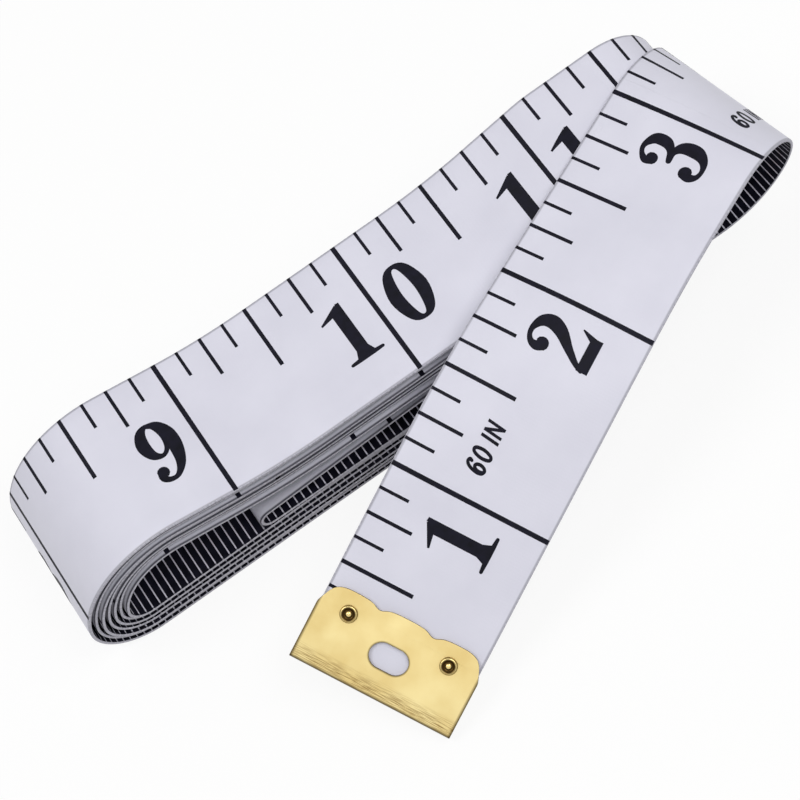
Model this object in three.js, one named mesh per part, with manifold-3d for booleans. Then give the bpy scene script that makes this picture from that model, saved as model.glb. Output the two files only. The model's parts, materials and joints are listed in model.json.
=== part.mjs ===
// A cloth tape measure, wound flat, with its first inches lying loose over the coil.
// Millimetres, +Z up. The coil's length runs along +X, the tick edge of its top run faces +Y.
import * as THREE from 'three';
import * as BufferGeometryUtils from 'three/addons/utils/BufferGeometryUtils.js';
import Module from 'manifold-3d';

const wasm = await Module();
wasm.setup();

// The tape: coated cloth, 60 inches from end to end
const tape_width = 20;
const tape_thickness = 0.4;
const tape_length = 1524;         // over both clips

// The coil: turns that lie flat below, bulge at both ends and sag between them on top. Each end is
// a tight bend, below on the left and above on the right, and a wide one
const turn_pitch = 0.83;          // from one turn to the next, so the gap is over 0.4
const tight_radius = 7.6;         // of the outermost turn, to the middle of the tape
const wide_radius = 13.4;
const wide_from = THREE.MathUtils.degToRad(170);
const sag_depth = 3.2;
const sag_radius = 60;
const sag_slope = THREE.MathUtils.degToRad(12);
const hump_margin = 1.5;          // from the right hump to where the innermost turn bends down
const inner_slack = 1.2;          // how much sooner each inner turn turns back on the right
const full_turns = 7;
const eye_fold_radius = 1.2;      // the hairpin in the middle, where winding began
const eye_fold_at = 17.6;         // how far inside the left bend that hairpin lies
const eye_end_gap = 6.5;          // from the tape's inner end to the middle of the right bend

// The fold on the right and the loose lead
const lead_length = 107.2;        // from the clip's fold to the foot of the tape's fold
const lead_lift = 0.55;           // clear height of the lead over the coil
const fold_turn = THREE.MathUtils.degToRad(12.6);
const fold_clearance = 0.15;      // from the coil to the fold, in line with the coil's far edge
const seam_margin = 0.5;          // from the end of the fold to the hinge line
const seam_gap = 0.3;
const edge_margin = 0.3;          // past the coil's edge, where the lead starts to bend down
const droop_radius = 30;
const droop_turn = THREE.MathUtils.degToRad(-45);
const rest_gap = 0.3;             // under the lowest corner of the lead's clip

// The brass clips, alike on both ends of the tape
const sheet = 0.3;
const clip_length = 10.2;
const clip_overhang = 0.3;        // past each edge of the tape
const clip_clearance = 0.1;       // between a leaf and the tape
const lobe_depth = 0.8;
const shoulder_length = clip_length - 3.0;
const tape_inset = 0.7;           // from the clip's fold to the tape's end
const window_length = 4.8;        // across the tape
const window_width = 3.1;
const window_at = 5.1;            // from the fold
const lobe_shares = { near: 0.12, rise: 0.7 };

// The rivets, two in each clip
const rivet_radius = 0.7;
const rivet_head_radius = 1.05;
const rivet_head_height = 0.35;
const rivet_dish_depth = 0.15;
const rivet_side = 3.9;           // from the clip's side
const rivet_at = clip_length - 2.6;
const rivet_clearance = 0.1;
const overrun = 1;                // how far a cutter reaches past what it cuts
const gap_step = 1;               // between the points that the gap is measured on
const merge_distance = 1e-4;      // corners that lie closer are one corner

// How finely round stretches are stepped, in counts
const tight_steps = 7;
const wide_steps = 6;
const sag_steps = 3;
const fold_steps = 14;
const droop_steps = 6;
const eye_fold_steps = 8;
const lobe_steps = 8;
const round_steps = 20;
const across_shares = [0, 0.5, 1];

// Sizes that follow from those above
const coil_floor = tape_thickness / 2;
const half_width = tape_width / 2;
const wide_shift = new THREE.Vector2(Math.cos(wide_from), Math.sin(wide_from))
  .multiplyScalar(tight_radius - wide_radius);
const coil_height = tight_radius + wide_radius + wide_shift.y;
const coil_top = coil_floor + coil_height - turn_pitch / 2 + tape_thickness / 2;
const low_centre_z = coil_floor + tight_radius;
const high_centre_z = coil_floor + coil_height - tight_radius;
const hump_centre_z = low_centre_z + wide_shift.y;
const sag_centre_z = coil_floor + coil_height - sag_depth + sag_radius;
const sag_drop = (wide_radius + sag_radius) * (1 - Math.cos(sag_slope));
const sag_reach = (wide_radius + sag_radius) * Math.sin(sag_slope)
  + (sag_depth - sag_drop) / Math.tan(sag_slope);
const lead_height = coil_top + lead_lift + tape_thickness / 2;
const fold_radius = (lead_height - coil_floor) / 2;
const wound_length = tape_length - lead_length - tape_inset;
const clip_width = tape_width + 2 * clip_overhang;
const clip_half = tape_thickness / 2 + clip_clearance + sheet;

const cloth = new THREE.MeshStandardMaterial({ color: 0xdad9e5, roughness: 0.55, metalness: 0 });
const brass = new THREE.MeshStandardMaterial({ color: 0xe0c070, roughness: 0.3, metalness: 1 });
const rivet_brass = new THREE.MeshStandardMaterial({ color: 0xc9a85c, roughness: 0.35, metalness: 1 });

// How far past the turns' lower right bends the foot of the fold lies, so that it clears their
// upper right bends
const fold_reach = (() => {
  const inside = fold_radius - tape_thickness / 2;
  const above = high_centre_z - coil_floor - fold_radius;
  const reach = Math.sqrt(inside ** 2 - above ** 2) / Math.cos(fold_turn);
  const coil_reach = wide_shift.x + tight_radius - turn_pitch / 2 + tape_thickness / 2;
  return coil_reach + fold_clearance + half_width * Math.tan(fold_turn) - reach;
})();

// The wound tape from the foot of the fold to its inner end, seen from the side: points in the
// middle of the tape, each with the direction that faces out of the coil
function windCoil(run) {
  const stations = [{ x: run + fold_reach, z: coil_floor, nx: 0, nz: -1 }];
  let inset = 0;
  const place = (cx, cz, r, angle) => stations.push({
    x: cx + r * Math.cos(angle), z: cz + r * Math.sin(angle), nx: Math.cos(angle), nz: Math.sin(angle),
  });
  // One end, turned half round for the right one, while the turn moves inwards by half a pitch
  const turnEnd = (x, z, facing, finish) => {
    const hand = Math.cos(facing);
    const start = 1.5 * Math.PI;
    const insetAt = (angle) => inset + turn_pitch * (1 - Math.cos(Math.min(start - angle, Math.PI))) / 4;
    for (let i = 0; i <= tight_steps; i++) {
      const angle = start + (wide_from - start) * i / tight_steps;
      place(x, z, tight_radius - insetAt(angle), angle - facing);
    }
    for (let i = 1; i <= wide_steps; i++) {
      const angle = wide_from + (finish - wide_from) * i / wide_steps;
      const r = wide_radius - insetAt(angle);
      place(x + hand * wide_shift.x, z + hand * wide_shift.y, r, angle - facing);
    }
    inset += turn_pitch / 2;
  };
  // The top run from hump to hump. Its hollow bends have their centres above the tape
  const sagBetween = (left, right) => {
    const level = Math.PI / 2;
    const bends = [
      { x: left + sag_reach, z: sag_centre_z, r: -sag_radius - inset, begin: level - sag_slope, end: level },
      { x: right - sag_reach, z: sag_centre_z, r: -sag_radius - inset, begin: level, end: level + sag_slope },
      { x: right, z: hump_centre_z, r: wide_radius - inset, begin: level + sag_slope, end: level },
    ];
    for (const { x, z, r, begin, end } of bends) {
      for (let i = 0; i <= sag_steps; i++) place(x, z, r, begin + (end - begin) * i / sag_steps);
    }
  };
  const right_hump = run + wide_shift.x - inner_slack * (full_turns - 1) - hump_margin;
  for (let turn = 0; turn < full_turns; turn++) {
    turnEnd(0, low_centre_z, 0, Math.PI / 2 - sag_slope);
    sagBetween(wide_shift.x, right_hump);
    turnEnd(run + wide_shift.x - inner_slack * turn, high_centre_z, Math.PI, Math.PI / 2);
  }
  // The hairpin in the eye, and the last stretch, which leads back to the right and to mid-height
  const hairpin = { x: eye_fold_at, z: coil_floor + inset + eye_fold_radius };
  const stretch = run - inner_slack * (full_turns - 1) - eye_end_gap - eye_fold_at;
  const rise = Math.atan2(coil_floor + coil_height / 2 - hairpin.z - eye_fold_radius, stretch);
  for (let i = 0; i <= eye_fold_steps; i++) {
    const angle = 1.5 * Math.PI - (Math.PI - rise) * i / eye_fold_steps;
    place(hairpin.x, hairpin.z, eye_fold_radius, angle);
  }
  const exit = stations[stations.length - 1];
  stations.push({ ...exit, x: exit.x + exit.nz * stretch, z: exit.z - exit.nx * stretch });
  return stations;
}

function lengthOf(stations) {
  return stations.slice(1).reduce(
    (sum, p, i) => sum + Math.hypot(p.x - stations[i].x, p.z - stations[i].z),
    0,
  );
}

// The straight stretches, two in each turn, one to the fold and one in the eye, take up what the
// bends leave of the tape's length
const stretches = 2 * full_turns + 2;
const trial_run = wound_length / stretches;
const turn_run = trial_run + (wound_length - lengthOf(windCoil(trial_run))) / stretches;
const stations = windCoil(turn_run);
console.log('straight stretch of a turn, mm', turn_run.toFixed(3));
console.log('length of the tape, mm', (lengthOf(stations) + lead_length + tape_inset).toFixed(3));

// Where the tape is at a place on it: past is the length from the foot of the fold towards the free
// end, side is the distance from its middle line, and up is the height in its thickness
const turned = (angle) => new THREE.Vector2(Math.cos(angle), Math.sin(angle));
const fold_along = turned(fold_turn);
const fold_axis = turned(fold_turn - Math.PI / 2);
const fold_foot = new THREE.Vector2(stations[0].x, 0);
const lead_heading = turned(Math.PI + 2 * fold_turn);

// The bend of the fold, by the rolled length across its axis and the place along its axis
function onFold(rolled, along, up) {
  const angle = THREE.MathUtils.clamp(rolled / fold_radius, 0, Math.PI);
  const flat = rolled - Math.PI * fold_radius;
  const reach = (fold_radius + up) * Math.sin(angle) - Math.max(flat, 0);
  const plan = fold_foot.clone().addScaledVector(fold_along, reach).addScaledVector(fold_axis, along);
  return new THREE.Vector3(plan.x, plan.y, coil_floor + fold_radius - (fold_radius + up) * Math.cos(angle));
}

// Where the lead bends down, from the free end: its far edge has just crossed the coil's near edge
const droop_at = (() => {
  const farEdge = (past) => onFold(
    past * Math.cos(fold_turn) + half_width * Math.sin(fold_turn),
    past * Math.sin(fold_turn) - half_width * Math.cos(fold_turn),
    0,
  ).y;
  const crossing = (farEdge(lead_length) + half_width + edge_margin) / Math.sin(2 * fold_turn);
  return -crossing - half_width * Math.tan(droop_turn);
})();

// The steepness that sets the lowest corner of the clip just over the surface
function droopAngle() {
  const drop = (angle) => {
    const rolled = droop_at * Math.cos(droop_turn) + clip_width / 2 * Math.abs(Math.sin(droop_turn));
    return droop_radius * (1 - Math.cos(angle)) + (rolled - droop_radius * angle) * Math.sin(angle);
  };
  let low = 0;
  let high = Math.PI / 3;
  for (let i = 0; i < 40; i++) {
    const middle = (low + high) / 2;
    if (lead_height - drop(middle) - clip_half * Math.cos(middle) > rest_gap) low = middle;
    else high = middle;
  }
  return low;
}
const droop_angle = droopAngle();

// A frame on the lead where it starts to droop: its middle line, pointing to the free end
const droop_start = (() => {
  const past = lead_length - droop_at;
  const start = onFold(past * Math.cos(fold_turn), past * Math.sin(fold_turn), 0);
  return new THREE.Vector3(start.x, start.y, lead_height);
})();
const droop_along = lead_heading.clone().rotateAround(new THREE.Vector2(), -droop_turn);
const droop_axis = droop_along.clone().rotateAround(new THREE.Vector2(), -Math.PI / 2);

// The drooping lead, by the rolled length across the droop's axis and the place along that axis
function onDroop(rolled, along, up) {
  const angle = THREE.MathUtils.clamp(rolled / droop_radius, 0, droop_angle);
  const rest = rolled < 0 ? rolled : Math.max(rolled - droop_radius * droop_angle, 0);
  const ahead = (droop_radius + up) * Math.sin(angle) + rest * Math.cos(angle);
  const down = droop_radius - (droop_radius + up) * Math.cos(angle) + rest * Math.sin(angle);
  return new THREE.Vector3(
    droop_start.x + droop_along.x * ahead + droop_axis.x * along,
    droop_start.y + droop_along.y * ahead + droop_axis.y * along,
    droop_start.z - down,
  );
}

// The lead's point at a distance from the droop's start, by length and side of the tape
function onLead(ahead, side, up) {
  const rolled = ahead * Math.cos(droop_turn) + side * Math.sin(droop_turn);
  const along = side * Math.cos(droop_turn) - ahead * Math.sin(droop_turn);
  return onDroop(rolled, along, up);
}

// A closed band through a list of four-cornered sections
function bandGeometry(sections) {
  const positions = sections.flat().flatMap((p) => [p.x, p.y, p.z]);
  const index = [];
  const quad = (a, b, c, d) => index.push(a, b, c, a, c, d);
  for (let i = 0; i + 1 < sections.length; i++) {
    for (let k = 0; k < 4; k++) {
      const next = (k + 1) % 4;
      quad(4 * i + k, 4 * i + next, 4 * i + 4 + next, 4 * i + 4 + k);
    }
  }
  const last = 4 * (sections.length - 1);
  quad(3, 2, 1, 0);
  quad(last, last + 1, last + 2, last + 3);
  const geometry = new THREE.BufferGeometry();
  geometry.setAttribute('position', new THREE.Float32BufferAttribute(positions, 3));
  geometry.setIndex(index);
  return geometry;
}

function toSolid(geometry) {
  const plain = geometry.clone();
  plain.deleteAttribute('normal');
  plain.deleteAttribute('uv');
  const merged = BufferGeometryUtils.mergeVertices(plain, merge_distance);
  return new wasm.Manifold(new wasm.Mesh({
    numProp: 3,
    vertProperties: new Float32Array(merged.attributes.position.array),
    triVerts: new Uint32Array(merged.index.array),
  }));
}

function toGeometry(solid) {
  const mesh = solid.getMesh();
  const geometry = new THREE.BufferGeometry();
  geometry.setAttribute('position', new THREE.BufferAttribute(new Float32Array(mesh.vertProperties), 3));
  geometry.setIndex(new THREE.BufferAttribute(new Uint32Array(mesh.triVerts), 1));
  geometry.computeVertexNormals();
  return geometry;
}

// The hinge line lies across the tape where all of it has left the fold
const seam_rolled = Math.PI * fold_radius + half_width * Math.sin(fold_turn);
const seam_past = seam_rolled / Math.cos(fold_turn) + seam_margin;

// The wound tape, from the hinge line above the fold to its inner end
function coilSections() {
  const sections = [];
  const corner = (past, side, up) => onFold(
    past * Math.cos(fold_turn) + side * Math.sin(fold_turn),
    past * Math.sin(fold_turn) - side * Math.cos(fold_turn),
    up,
  );
  const half = tape_thickness / 2;
  const section = (point) => [
    point(-half_width, -half), point(half_width, -half), point(half_width, half), point(-half_width, half),
  ];
  sections.push(section((side, up) => corner(seam_past, side, up)));
  // Each section of the fold lies along its axis
  for (let i = fold_steps; i >= 0; i--) {
    const rolled = Math.PI * fold_radius * i / fold_steps;
    sections.push(section((side, up) => {
      const past = (rolled - side * Math.sin(fold_turn)) / Math.cos(fold_turn);
      return corner(past, side, up);
    }));
  }
  for (const p of stations.slice(1)) {
    sections.push(section((side, up) => new THREE.Vector3(p.x + p.nx * up, side, p.z + p.nz * up)));
  }
  return sections;
}
const coil_sections = coilSections();

// The least gap between turns, measured on points across and along both faces of the tape
function leastGap(sections) {
  const points = [];
  let length = 0;
  const across = (section, low, high, share) => section[low].clone().lerp(section[high], share);
  for (let i = 1; i < sections.length; i++) {
    const before = sections[i - 1];
    const after = sections[i];
    const span = across(before, 0, 1, 1 / 2).distanceTo(across(after, 0, 1, 1 / 2));
    const count = Math.ceil(span / gap_step);
    for (let k = 0; k < count; k++) {
      for (const [low, high] of [[0, 1], [3, 2]]) {
        for (const share of across_shares) {
          const p = across(before, low, high, share).lerp(across(after, low, high, share), k / count);
          points.push(new THREE.Vector4(p.x, p.y, p.z, length + span * k / count));
        }
      }
    }
    length += span;
  }
  const apart = 2 * Math.PI * eye_fold_radius;
  let least = Infinity;
  for (let i = 0; i < points.length; i++) {
    for (let j = i + 1; j < points.length; j++) {
      if (points[j].w - points[i].w < apart) continue;
      const dx = points[i].x - points[j].x;
      const dy = points[i].y - points[j].y;
      const dz = points[i].z - points[j].z;
      least = Math.min(least, dx * dx + dy * dy + dz * dz);
    }
  }
  return Math.sqrt(least);
}
console.log('least gap between turns, mm', leastGap(coil_sections).toFixed(3));

// One leaf of a clip: straight sides from the fold, then three lobes
function leafShape() {
  const side = clip_width / 2;
  const lobe = clip_width / 3;
  const shape = new THREE.Shape();
  shape.moveTo(-side, 0);
  shape.lineTo(side, 0);
  shape.lineTo(side, shoulder_length);
  for (let i = 0; i < 3; i++) {
    const from = side - lobe * i;
    const start = i === 0 ? shoulder_length : clip_length - lobe_depth;
    const end = i === 2 ? shoulder_length : clip_length - lobe_depth;
    shape.bezierCurveTo(
      from - lobe * lobe_shares.near, start + (clip_length - start) * lobe_shares.rise,
      from - lobe * lobe_shares.near, clip_length,
      from - lobe / 2, clip_length,
    );
    shape.bezierCurveTo(
      from - lobe * (1 - lobe_shares.near), clip_length,
      from - lobe * (1 - lobe_shares.near), end + (clip_length - end) * lobe_shares.rise,
      from - lobe, end,
    );
  }
  shape.closePath();
  return shape;
}

// A clip in its own frame: X across the tape, Y from the fold along it, Z through its thickness
function clipGeometry() {
  const inner = clip_half - sheet;
  const profile = new THREE.Shape();
  profile.moveTo(clip_length + overrun, -clip_half);
  profile.lineTo(clip_length + overrun, -inner);
  profile.lineTo(clip_half, -inner);
  profile.absarc(clip_half, 0, inner, 1.5 * Math.PI, Math.PI / 2, true);
  profile.lineTo(clip_length + overrun, inner);
  profile.lineTo(clip_length + overrun, clip_half);
  profile.lineTo(clip_half, clip_half);
  profile.absarc(clip_half, 0, clip_half, Math.PI / 2, 1.5 * Math.PI, false);
  profile.closePath();
  const folded = new THREE.ExtrudeGeometry(profile, {
    depth: clip_width, bevelEnabled: false, curveSegments: lobe_steps,
  });
  // The profile lies in X and Y, and is turned so that it runs along the tape
  folded.translate(0, 0, -clip_width / 2);
  folded.applyMatrix4(new THREE.Matrix4().makeBasis(
    new THREE.Vector3(0, 1, 0), new THREE.Vector3(0, 0, 1), new THREE.Vector3(1, 0, 0),
  ));
  const through = { depth: 2 * (clip_half + overrun), bevelEnabled: false, curveSegments: lobe_steps };
  const outline = new THREE.ExtrudeGeometry(leafShape(), through);
  outline.translate(0, 0, -clip_half - overrun);
  const slot = new THREE.Shape();
  const straight = (window_length - window_width) / 2;
  slot.absarc(straight, window_at, window_width / 2, -Math.PI / 2, Math.PI / 2, false);
  slot.absarc(-straight, window_at, window_width / 2, Math.PI / 2, 1.5 * Math.PI, false);
  slot.closePath();
  const window_cut = new THREE.ExtrudeGeometry(slot, through);
  window_cut.translate(0, 0, -clip_half - overrun);
  let solid = toSolid(folded).intersect(toSolid(outline)).subtract(toSolid(window_cut));
  for (const x of rivetPlaces()) solid = solid.subtract(toSolid(rivetHole(x)));
  return toGeometry(solid);
}

function rivetPlaces() {
  return [-1, 1].map((hand) => hand * (clip_width / 2 - rivet_side));
}

function rivetHole(x) {
  const hole = new THREE.CylinderGeometry(
    rivet_radius + rivet_clearance, rivet_radius + rivet_clearance, 2 * (clip_half + overrun), round_steps,
  );
  hole.rotateX(Math.PI / 2);
  hole.translate(x, rivet_at, 0);
  return hole;
}

// A rivet: a shank with a dished head on each face of the clip
function rivetGeometry() {
  const seat = clip_half + rivet_clearance;
  const top = seat + rivet_head_height;
  const rim = (rivet_radius + rivet_head_radius) / 2;
  const upper = [
    [rivet_radius, seat], [rivet_head_radius, seat], [rivet_head_radius, top - rivet_dish_depth],
    [rim, top], [rivet_radius / 2, top - rivet_dish_depth], [0, top],
  ];
  const lower = upper.map(([r, z]) => [r, -z]).reverse();
  const points = [...lower, ...upper].map(([r, z]) => new THREE.Vector2(r, z));
  const geometry = new THREE.LatheGeometry(points, round_steps);
  geometry.rotateX(Math.PI / 2);
  return geometry;
}

// The frame of a clip on the tape: its own X, Y and Z and the middle of its fold
function clipMatrix(across, along, fold) {
  const normal = new THREE.Vector3().crossVectors(across, along);
  return new THREE.Matrix4().makeBasis(across, along, normal).setPosition(fold);
}

function named(name, geometry, material) {
  const mesh = new THREE.Mesh(geometry, material);
  mesh.name = name;
  return mesh;
}

// A clip with its two rivets, as they sit on one end of the tape
function clipGroup(prefix, matrix) {
  const group = new THREE.Group();
  group.add(named(`${prefix}_clip`, clipGeometry(), brass));
  rivetPlaces().forEach((x, i) => {
    const rivet = named(`${prefix}_rivet_${i + 1}`, rivetGeometry(), rivet_brass);
    rivet.position.set(x, rivet_at, 0);
    group.add(rivet);
  });
  group.applyMatrix4(matrix);
  return group;
}

// The loose lead, from the hinge line to the free end in its clip
function leadSections() {
  const half = tape_thickness / 2;
  const section = (point) => [
    point(half_width, -half), point(-half_width, -half), point(-half_width, half), point(half_width, half),
  ];
  const sections = [];
  const start = seam_past + seam_gap - (lead_length - droop_at);
  sections.push(section((side, up) => onLead(start, side, up)));
  for (let i = 0; i <= droop_steps; i++) {
    const rolled = droop_radius * droop_angle * i / droop_steps;
    sections.push(section((side, up) => {
      const ahead = (rolled - side * Math.sin(droop_turn)) / Math.cos(droop_turn);
      return onLead(ahead, side, up);
    }));
  }
  sections.push(section((side, up) => onLead(droop_at - tape_inset, side, up)));
  return sections;
}

const start_fold = onLead(droop_at, 0, 0);
const start_along = onLead(droop_at - clip_length, 0, 0).sub(start_fold).normalize();
const start_across = onLead(droop_at, half_width, 0).sub(start_fold).normalize();
const start_matrix = clipMatrix(start_across, start_along, start_fold);

const inner_end = stations[stations.length - 1];
const end_along = new THREE.Vector3(-inner_end.nz, 0, inner_end.nx);
const end_across = new THREE.Vector3(0, 1, 0);
const end_fold = new THREE.Vector3(inner_end.x, 0, inner_end.z).addScaledVector(end_along, -tape_inset);
const end_matrix = clipMatrix(end_across, end_along, end_fold);

// The tape with its rivet holes at one end
function drilled(geometry, matrix) {
  let solid = toSolid(geometry);
  for (const x of rivetPlaces()) solid = solid.subtract(toSolid(rivetHole(x).applyMatrix4(matrix)));
  return toGeometry(solid);
}

const group = new THREE.Group();
group.add(named('tape_coil', drilled(bandGeometry(coil_sections), end_matrix), cloth));
group.add(clipGroup('end', end_matrix));
group.add(named('tape_lead', drilled(bandGeometry(leadSections()), start_matrix), cloth));
group.add(clipGroup('start', start_matrix));

// The origin is under the middle of the whole object
const box = new THREE.Box3().setFromObject(group);
const middle = box.getCenter(new THREE.Vector3());
group.position.set(-middle.x, -middle.y, -box.min.z);

export default group;
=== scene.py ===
"""A cloth tape measure, wound flat, with its first inches lying loose over the coil.

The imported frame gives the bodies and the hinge. The tape and its print are drawn flat first, by the
length along the tape and the distance from its middle line, and are then laid along its path.
"""
import math

import bmesh
import bpy
import numpy as np
from mathutils import Matrix, Vector
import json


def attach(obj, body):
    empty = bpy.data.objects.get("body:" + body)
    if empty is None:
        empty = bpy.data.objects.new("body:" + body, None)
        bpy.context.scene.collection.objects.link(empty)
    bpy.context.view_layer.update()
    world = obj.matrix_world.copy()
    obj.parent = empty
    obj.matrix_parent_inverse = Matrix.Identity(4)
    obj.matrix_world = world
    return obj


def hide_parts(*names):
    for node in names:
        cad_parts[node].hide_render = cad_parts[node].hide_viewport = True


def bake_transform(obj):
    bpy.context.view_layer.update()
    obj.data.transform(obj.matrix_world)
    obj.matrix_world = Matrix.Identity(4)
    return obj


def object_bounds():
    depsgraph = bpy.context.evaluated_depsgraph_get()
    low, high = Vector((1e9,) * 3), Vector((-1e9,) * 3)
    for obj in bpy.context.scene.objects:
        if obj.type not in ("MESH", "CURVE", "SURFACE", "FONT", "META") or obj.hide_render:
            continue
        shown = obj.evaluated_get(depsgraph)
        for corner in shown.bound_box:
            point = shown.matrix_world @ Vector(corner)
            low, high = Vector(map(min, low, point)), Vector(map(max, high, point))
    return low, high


MM = 0.001
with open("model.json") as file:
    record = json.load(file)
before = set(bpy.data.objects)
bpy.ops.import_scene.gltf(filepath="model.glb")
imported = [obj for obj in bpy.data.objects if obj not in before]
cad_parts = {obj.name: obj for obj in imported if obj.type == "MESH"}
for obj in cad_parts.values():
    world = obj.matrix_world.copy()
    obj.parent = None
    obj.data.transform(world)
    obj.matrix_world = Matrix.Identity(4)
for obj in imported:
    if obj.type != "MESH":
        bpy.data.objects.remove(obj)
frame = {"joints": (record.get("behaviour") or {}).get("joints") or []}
cad_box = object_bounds()

# The coil
# A woven tape, wound by hand round a hairpin of itself, in flat turns that bulge at both ends and
# sag between them. Each end is a tight bend, low on the left and high on the right, and a wide one.
# The path is the middle of the cloth, seen from the side, and starts at the foot of the fold.
tape_width = 20 * MM
tape_thickness = 0.4 * MM
tape_length = 1524 * MM           # 60 inches, over both clips
turn_pitch = 0.83 * MM            # from one turn to the next
tight_radius = 7.6 * MM
wide_radius = 13.4 * MM
wide_from = math.radians(170)     # where a tight bend goes over into a wide one
sag_depth = 3.2 * MM
sag_radius = 60 * MM
sag_slope = math.radians(12)
hump_margin = 1.5 * MM
inner_slack = 1.2 * MM            # by which a turn is shorter than the one round it
full_turns = 7
eye_fold_radius = 1.2 * MM        # of the hairpin
eye_fold_at = 17.6 * MM
eye_end_gap = 6.5 * MM            # from the tape's inner end to the middle of the right bends
lead_length = 107.2 * MM          # from the clip's fold to the foot of the tape's fold
lead_lift = 0.55 * MM             # of the folded tape over the coil
fold_turn = math.radians(12.6)    # the lead runs back askew by twice this angle
fold_clearance = 0.15 * MM        # between the fold and the turns in it
tape_inset = 0.7 * MM             # from the clip's fold to the tape's end
bend_steps = 24
sag_steps = 8

half_width = tape_width / 2
half_thickness = tape_thickness / 2
coil_floor = half_thickness
wide_shift = (tight_radius - wide_radius) * np.array([math.cos(wide_from), math.sin(wide_from)])
coil_height = tight_radius + wide_radius + wide_shift[1]
coil_top = coil_floor + coil_height - turn_pitch / 2 + half_thickness
low_centre_z = coil_floor + tight_radius
high_centre_z = coil_floor + coil_height - tight_radius
hump_centre_z = low_centre_z + wide_shift[1]
sag_centre_z = coil_floor + coil_height - sag_depth + sag_radius
sag_swing = wide_radius + sag_radius
sag_drop = sag_swing * (1 - math.cos(sag_slope))
sag_reach = sag_swing * math.sin(sag_slope) + (sag_depth - sag_drop) / math.tan(sag_slope)
lead_height = coil_top + lead_lift + half_thickness
fold_radius = (lead_height - coil_floor) / 2
wound_length = tape_length - lead_length - tape_inset


def find_fold_reach():
    """How far past the turns' lower right bends the foot of the fold lies."""
    inside = fold_radius - half_thickness
    above = high_centre_z - coil_floor - fold_radius
    reach = math.sqrt(inside**2 - above**2) / math.cos(fold_turn)
    coil_reach = wide_shift[0] + tight_radius - turn_pitch / 2 + half_thickness
    return coil_reach + fold_clearance + half_width * math.tan(fold_turn) - reach


fold_reach = find_fold_reach()


def wind_coil(run):
    """Rows of x, z and the outward direction, from the foot of the fold to the tape's inner end."""
    rows = [(run + fold_reach, coil_floor, 0.0, -1.0)]
    start = 1.5 * math.pi
    level = math.pi / 2
    inset = 0.0

    def bend(x, z, radius, begin, finish, steps, facing=0.0, narrowing=0.0):
        for i in range(steps + 1):
            angle = begin + (finish - begin) * i / steps
            r = radius - narrowing * (1 - math.cos(min(start - angle, math.pi))) / 4
            nx, nz = math.cos(angle - facing), math.sin(angle - facing)
            rows.append((x + r * nx, z + r * nz, nx, nz))

    def turn_end(x, z, facing, finish):
        """One end, turned half round for the right one, while the turn moves inwards by half a pitch."""
        bend(x, z, tight_radius - inset, start, wide_from, bend_steps, facing, turn_pitch)
        x, z = np.array([x, z]) + wide_shift * math.cos(facing)
        bend(x, z, wide_radius - inset, wide_from, finish, bend_steps, facing, turn_pitch)

    right_hump = run + wide_shift[0] - inner_slack * (full_turns - 1) - hump_margin
    for turn in range(full_turns):
        turn_end(0, low_centre_z, 0, level - sag_slope)
        inset += turn_pitch / 2
        hollow = -sag_radius - inset
        bend(wide_shift[0] + sag_reach, sag_centre_z, hollow, level - sag_slope, level, sag_steps)
        bend(right_hump - sag_reach, sag_centre_z, hollow, level, level + sag_slope, sag_steps)
        bend(right_hump, hump_centre_z, wide_radius - inset, level + sag_slope, level, sag_steps)
        turn_end(run + wide_shift[0] - inner_slack * turn, high_centre_z, math.pi, level)
        inset += turn_pitch / 2
    # The hairpin in the eye, and the last stretch, back to the right and up to mid-height
    hairpin_z = coil_floor + inset + eye_fold_radius
    stretch = run - inner_slack * (full_turns - 1) - eye_end_gap - eye_fold_at
    rise = math.atan2(coil_floor + coil_height / 2 - hairpin_z - eye_fold_radius, stretch)
    bend(eye_fold_at, hairpin_z, eye_fold_radius, start, level + rise, bend_steps)
    x, z, nx, nz = rows[-1]
    rows.append((x + nz * stretch, z - nx * stretch, nx, nz))
    return np.array(rows)


def lengths_along(rows):
    return np.concatenate([[0], np.cumsum(np.hypot(*np.diff(rows[:, :2], axis=0).T))])


# The length grows by one run with the first stretch on the table, two in each turn and the last one
stretches = 2 * full_turns + 2
trial_run = wound_length / stretches
turn_run = trial_run + (wound_length - lengths_along(wind_coil(trial_run))[-1]) / stretches
coil_rows = wind_coil(turn_run)
coil_s = lead_length + lengths_along(coil_rows)
inner_end_s = coil_s[-1]


def on_coil(s, side, up):
    """Points of the wound tape, by the length from the tape's free end."""
    x, z, nx, nz = (np.interp(s, coil_s, column) for column in coil_rows.T)
    size = np.hypot(nx, nz)
    return np.column_stack([x + nx / size * up, side, z + nz / size * up])


# The fold and the loose lead
# At the right the tape comes up round the coil and is folded back over it, a little askew. It runs
# down to the left, where its first inches leave the coil and droop until the clip is on the table.
# Nothing holds it, so it can be lifted about a line across the top of the fold.
droop_radius = 30 * MM
droop_turn = math.radians(-45)
droop_steepest = math.pi / 3
droop_halvings = 40
edge_margin = 0.3 * MM            # past the coil's edge, where the lead starts to bend down
rest_gap = 0.3 * MM               # under the lowest corner of the clip
seam_margin = 0.5 * MM
seam_gap = 0.3 * MM
seam_behind = 7 * MM              # where the cloth is parted, behind the hinge line
clip_overhang = 0.3 * MM          # past each edge of the tape
clip_clearance = 0.1 * MM         # between a leaf and the tape
brass_sheet = 0.3 * MM
clip_width = tape_width + 2 * clip_overhang
clip_half = half_thickness + clip_clearance + brass_sheet
fold_foot = np.array([coil_rows[0][0], 0.0])


def turned(angle):
    return np.array([math.cos(angle), math.sin(angle)])


fold_along = turned(fold_turn)
fold_axis = turned(fold_turn - math.pi / 2)
lead_heading = turned(math.pi + 2 * fold_turn)


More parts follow.
